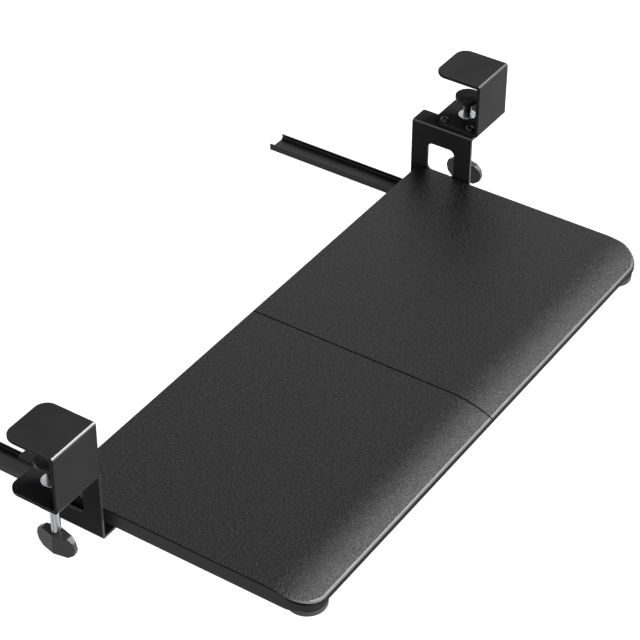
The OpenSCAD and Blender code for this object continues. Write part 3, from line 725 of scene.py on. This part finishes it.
def bolts():
    """Two bolts from above, each with a hexagon recess in its head."""
    set_of = []
    for y in BOLT_Y:
        shank = turned([(0, BOLT_END), (BOLT_R * BOLT_POINT, BOLT_END), (BOLT_R, BOLT_END + BOLT_TAPER),
                        (BOLT_R, SEAT_TOP + BOLT_OVERLAP), (0, SEAT_TOP + BOLT_OVERLAP)], BOLT_STEPS)
        head = driven_head(BOLT_HEAD_R, BOLT_HEAD_H, hexagon(KEY_FLATS), KEY_DEPTH)
        set_of += [moved(shank, (BOLT_X, y, 0)), moved(head, (BOLT_X, y, SEAT_TOP))]
    return join(*set_of)


def nuts():
    """Two hexagon nuts with chamfered corners underneath."""
    set_of = []
    top = box_mm("hanger_nuts_right")[1].z
    for y in BOLT_Y:
        nut = solid([(a, b, top - NUT_H) for a, b in hexagon(NUT_FLATS)], (0, 0, NUT_H))
        round_corners(nut, [v for v in nut.verts if v.co.z < top - NUT_H / 2], NUT_CHAMFER, NUT_STEPS)
        ease(nut, NUT_EASE)
        set_of.append(moved(nut, (BOLT_X, y, 0)))
    return join(*set_of)


for side in SIDES:
    piece(f"bolt_pair_{side}", bolts(), "clamp_frame", (black_oxide,),
          [f"hanger_bolts_{side}"], side)
    piece(f"nut_pair_{side}", nuts(), "clamp_frame", (black_oxide,),
          [f"hanger_nuts_{side}"], side)


# Clamp screws: rolled thread above, plain shank below, a turned tip in the pad's socket

low, high = box_mm("clamp_screw_right")
SCREW_X, SCREW_Y = (low.x + high.x) / 2, (low.y + high.y) / 2
SCREW_R, SCREW_LOW, SCREW_L = (high.x - low.x) / 2, low.z, 100
SHOULDER = SCREW_LOW + SCREW_L
SHANK_CHAMFER, SCREW_OVERLAP = 0.6, 0.2
TIP_TOP, TIP_R, TIP_CHAMFER = high.z, 3.5, 0.5
PITCH, THREAD_DEPTH, THREAD_LOW, THREAD_STEPS = 1.5, 0.92, -96, 28
# Shares of a pitch at which the thread rises to its crest, leaves it, and comes back to its root
CREST_START, CREST_END, ROOT_START = 0.31, 0.44, 0.75


def screw_thread():
    """One pitch of the thread's section, carried round and up, then cut off square."""
    bm = bmesh.new()
    root = SCREW_R - THREAD_DEPTH
    start = THREAD_LOW - PITCH
    section = [(root, 0), (SCREW_R, CREST_START), (SCREW_R, CREST_END), (root, ROOT_START), (root, 1)]
    points = [bm.verts.new((r, 0, start + share * PITCH)) for r, share in section]
    line = [bm.edges.new(pair) for pair in zip(points, points[1:])]
    turns = math.ceil((SHOULDER - start) / PITCH) + 1
    bmesh.ops.spin(bm, geom=points + line, cent=(0, 0, 0), axis=(0, 0, 1), dvec=(0, 0, PITCH / THREAD_STEPS),
                   angle=2 * math.pi * turns, steps=THREAD_STEPS * turns)
    bmesh.ops.remove_doubles(bm, verts=bm.verts, dist=THREAD_WELD)
    for height, out in ((THREAD_LOW, -1), (SHOULDER, 1)):
        made = cut(bm, (0, 0, height), (0, 0, out), clear_outer=True)
        bmesh.ops.edgeloop_fill(bm, edges=edges_in(made))
    bmesh.ops.recalc_face_normals(bm, faces=bm.faces)
    return bm


def clamp_screw():
    """Shank, thread and tip in one."""
    shank = turned([(0, SCREW_LOW), (SCREW_R - SHANK_CHAMFER, SCREW_LOW), (SCREW_R, SCREW_LOW + SHANK_CHAMFER),
                    (SCREW_R, THREAD_LOW - SHANK_CHAMFER), (SCREW_R - THREAD_DEPTH, THREAD_LOW + SCREW_OVERLAP),
                    (0, THREAD_LOW + SCREW_OVERLAP)])
    tip = turned([(0, SHOULDER - SCREW_OVERLAP), (TIP_R, SHOULDER - SCREW_OVERLAP), (TIP_R, TIP_TOP - TIP_CHAMFER),
                  (TIP_R - TIP_CHAMFER, TIP_TOP), (0, TIP_TOP)])
    return moved(join(shank, screw_thread(), tip), (SCREW_X, SCREW_Y, 0))


# Threaded bushes in the brackets, and swivel pads with rubber faces on the screws

BUSH_BODY_R, BUSH_FLANGE_T, BUSH_PLAY, BUSH_EASE = 8.05, 2, 0.05, 0.4
SOCKET_R, SOCKET_BORE_R, SOCKET_DEPTH, PAD_PLATE_T, PAD_EASE = 7.55, 3.55, 7.1, 4, 0.35
SOCKET_CHAMFER_R, SOCKET_CHAMFER_H, FILLET_R, FILLET_H, PLATE_SLOPE = 0.8, 1.2, 1.4, 1.6, 1.2
GROOVES, GROOVE_MOUTH, GROOVE_BED, GROOVE_DEPTH = (12, 9, 6), 0.7, 0.4, 0.5


def bush():
    """A flanged sleeve round the screw."""
    low, high = box_mm("clamp_bush_right")
    flange_r, bore, flange = (high.x - low.x) / 2, SCREW_R + BUSH_PLAY, high.z - BUSH_FLANGE_T
    bm = turned([(bore, low.z), (BUSH_BODY_R, low.z), (BUSH_BODY_R, flange), (flange_r, flange),
                 (flange_r, high.z), (bore, high.z), (bore, low.z)])
    ease(bm, BUSH_EASE)
    return moved(bm, (SCREW_X, SCREW_Y, 0))


def pad():
    """A plate on a socket that takes the tip of the screw."""
    low, high = box_mm("pressure_pad_right")
    plate_r, plate, roof = (high.x - low.x) / 2, high.z - PAD_PLATE_T, low.z + SOCKET_DEPTH
    bm = turned([(SOCKET_BORE_R, low.z), (SOCKET_R - SOCKET_CHAMFER_R, low.z),
                 (SOCKET_R, low.z + SOCKET_CHAMFER_H), (SOCKET_R, plate - FILLET_H), (SOCKET_R + FILLET_R, plate),
                 (plate_r, plate + PLATE_SLOPE), (plate_r, high.z), (0, high.z), (0, roof),
                 (SOCKET_BORE_R, roof), (SOCKET_BORE_R, low.z)])
    ease(bm, PAD_EASE)
    return moved(bm, (SCREW_X, SCREW_Y, 0))


def pad_face():
    """A rubber disc with three ring grooves."""
    low, high = box_mm("pad_face_right")
    face_r, bed = (high.x - low.x) / 2, high.z - GROOVE_DEPTH
    profile = [(0, low.z), (face_r, low.z), (face_r, high.z)]
    for ring in GROOVES:
        profile += [(ring + GROOVE_MOUTH, high.z), (ring + GROOVE_BED, bed), (ring - GROOVE_BED, bed),
                    (ring - GROOVE_MOUTH, high.z)]
    return moved(turned(profile + [(0, high.z)]), (SCREW_X, SCREW_Y, 0))


# Wing knobs: oval from the side, with a ridge down each face and a collar for the screw

low, high = box_mm("wing_knob_right")
COLLAR_R, COLLAR_H, COLLAR_SINK, COLLAR_EASE = 6.55, 1, 3, 0.4
KNOB_TOP, KNOB_R = high.z - COLLAR_H, (high.z - COLLAR_H - low.z) / 2
KNOB_LOBE = 12.25
RIDGE_HALF, END_HALF = 7.5, 2.25
KNOB_EASE, KNOB_SHARP = 0.7, 20
KNOB_TURN = {"left": 1.5, "right": -2.5}
LOBE_FLAT = math.radians(36)
GRIP_ASIDE = 0.2


def knob(turn):
    """Its lobes end in flats, each turned from the last by an angle."""
    bm = bmesh.new()
    outline = []
    corner = KNOB_R / math.cos(LOBE_FLAT / 2)
    for way in (1, -1):
        for step in (-2, -1, 0, 1, 2):
            angle = LOBE_FLAT * step
            reach = KNOB_LOBE + KNOB_R - corner + corner * math.cos(angle)
            outline.append((way * reach, way * corner * math.sin(angle)))
        outline.append((0, way * KNOB_R))
    bm.faces.new([bm.verts.new((u, 0, z - KNOB_R)) for u, z in outline])
    bmesh.ops.connect_verts(bm, verts=[v for v in bm.verts if abs(v.co.x) < NEAR])
    grown = bmesh.ops.extrude_face_region(bm, geom=bm.faces[:])["geom"]
    near = set(verts_in(grown))
    for v in bm.verts:
        half = RIDGE_HALF + (END_HALF - RIDGE_HALF) * abs(v.co.x) / (KNOB_LOBE + KNOB_R)
        v.co.y = -half if v in near else half
    bmesh.ops.recalc_face_normals(bm, faces=bm.faces)
    ease(bm, KNOB_EASE, MOULDED_STEPS, KNOB_SHARP)
    collar = turned([(SCREW_R, -COLLAR_SINK), (COLLAR_R, -COLLAR_SINK), (COLLAR_R, COLLAR_H),
                     (SCREW_R, COLLAR_H), (SCREW_R, -COLLAR_SINK)])
    ease(collar, COLLAR_EASE, MOULDED_STEPS)
    along_y = Matrix.Rotation(math.radians(90 + turn), 3, "Z")
    return moved(join(bm, collar), (SCREW_X, SCREW_Y, KNOB_TOP), along_y)


def screw_finish(face):
    """The drawn rod below the thread, whose streaks are partly painted reflection."""
    return int(face.calc_center_median().z < THREAD_LOW * MM)


def knob_finish(face):
    """The polished grip round the rim: faces square to the wings."""
    return int(abs(face.normal.x) < GRIP_ASIDE)


for side in SIDES:
    screw = clamp_screw()
    # Both threads are right-handed, so the left screw is moved across and not mirrored
    if side == "left":
        bmesh.ops.translate(screw, vec=(-2 * SCREW_X, 0, 0), verts=screw.verts)
    piece(f"threaded_rod_{side}", screw, f"screw_{side}", (thread_zinc, shank_zinc_and_painted_reflection),
          [f"clamp_screw_{side}"], pick=screw_finish)
    piece(f"bush_{side}", bush(), "clamp_frame", (zinc_plate,), [f"clamp_bush_{side}"], side)
    piece(f"knob_{side}", knob(KNOB_TURN[side]), f"screw_{side}", (nylon, grip_nylon),
          [f"wing_knob_{side}"], side, knob_finish)
    piece(f"swivel_pad_{side}", pad(), f"pad_{side}", (black_oxide,), [f"pressure_pad_{side}"], side)
    piece(f"rubber_face_{side}", pad_face(), f"pad_{side}", (pad_rubber_and_groove_shade,), [f"pad_face_{side}"],
          side)


# Floor, background and light: the floor fades to white away from the tray, so that no horizon shows

WHITE = (1, 1, 1, 1)
FLOOR_Z, FLOOR_HALF, FLOOR_PAINT = -0.72, 12, "#cccccc"
NEAR_GLOW, FADE_START, FADE_END = 0.52, 1.2, 3.5
SKY_LIGHT, SKY_SEEN = 0.12, 1.0


def background_ray(tree):
    """1 for the rays that show the background: straight to the camera, mirrored or let through."""
    path = add(tree, "LightPath")
    seen = path.outputs["Is Camera Ray"]
    for name in ("Is Glossy Ray", "Is Transmission Ray"):
        either = add(tree, "Math", {"operation": "MAXIMUM"})
        tree.links.new(seen, either.inputs[0])
        tree.links.new(path.outputs[name], either.inputs[1])
        seen = either.outputs[0]
    return seen


white = bpy.data.materials.new("white_floor")
white.use_nodes = True
tree = white.node_tree
tree.nodes.clear()
far = add(tree, "VectorMath", {"operation": "LENGTH"}, Vector=add(tree, "TexCoord").outputs["Object"])
fade = spread(tree, far.outputs["Value"], FADE_START, FADE_END, NEAR_GLOW)
level = spread(tree, background_ray(tree), 0.0, 1.0, 0.0, fade)
paint = add(tree, "BsdfDiffuse", Color=linear(FLOOR_PAINT))
glow = add(tree, "Emission", Color=WHITE, Strength=level)
both = add(tree, "AddShader")
tree.links.new(paint.outputs[0], both.inputs[0])
tree.links.new(glow.outputs[0], both.inputs[1])
add(tree, "OutputMaterial", Surface=both.outputs[0])

bm = bmesh.new()
bmesh.ops.create_grid(bm, x_segments=1, y_segments=1, size=FLOOR_HALF, matrix=Matrix.Translation((0, 0, FLOOR_Z)))
mesh = bpy.data.meshes.new("floor")
bm.to_mesh(mesh)
bm.free()
mesh.materials.append(white)
floor = bpy.data.objects.new("floor", mesh)
bpy.context.scene.collection.objects.link(floor)

world = bpy.data.worlds.new("studio")
bpy.context.scene.world = world
world.use_nodes = True
tree = world.node_tree
tree.nodes.clear()
level = spread(tree, background_ray(tree), 0.0, 1.0, SKY_LIGHT, SKY_SEEN)
sky = add(tree, "Background", Color=WHITE, Strength=level)
add(tree, "OutputWorld", Surface=sky.outputs[0])

LAMP_AWAY, LAMP_AIM_Y, LAMP_AIM_Z = 6, -0.15, -0.13


def softbox(name, x, tilt, length, width, power):
    """A large soft lamp well away from the tray, tilted from overhead to the front by an angle."""
    lamp = bpy.data.lights.new(name, "AREA")
    lamp.shape = "RECTANGLE"
    lamp.size, lamp.size_y = length, width
    lamp.energy = power
    made = bpy.data.objects.new(name, lamp)
    bpy.context.scene.collection.objects.link(made)
    tilt = math.radians(tilt)
    made.location = (x, LAMP_AIM_Y - LAMP_AWAY * math.sin(tilt), LAMP_AIM_Z + LAMP_AWAY * math.cos(tilt))
    made.rotation_euler = (tilt, 0, 0)


# The key lamp shines on the falling front of the tray and along the bends, and the wide fill lifts what faces
# the front
softbox("key_softbox", x=4.4, tilt=24, length=3.2, width=4.4, power=760)
softbox("fill_softbox", x=-1.5, tilt=72, length=14.0, width=3.2, power=560)

bpy.context.scene.view_settings.view_transform = "Standard"
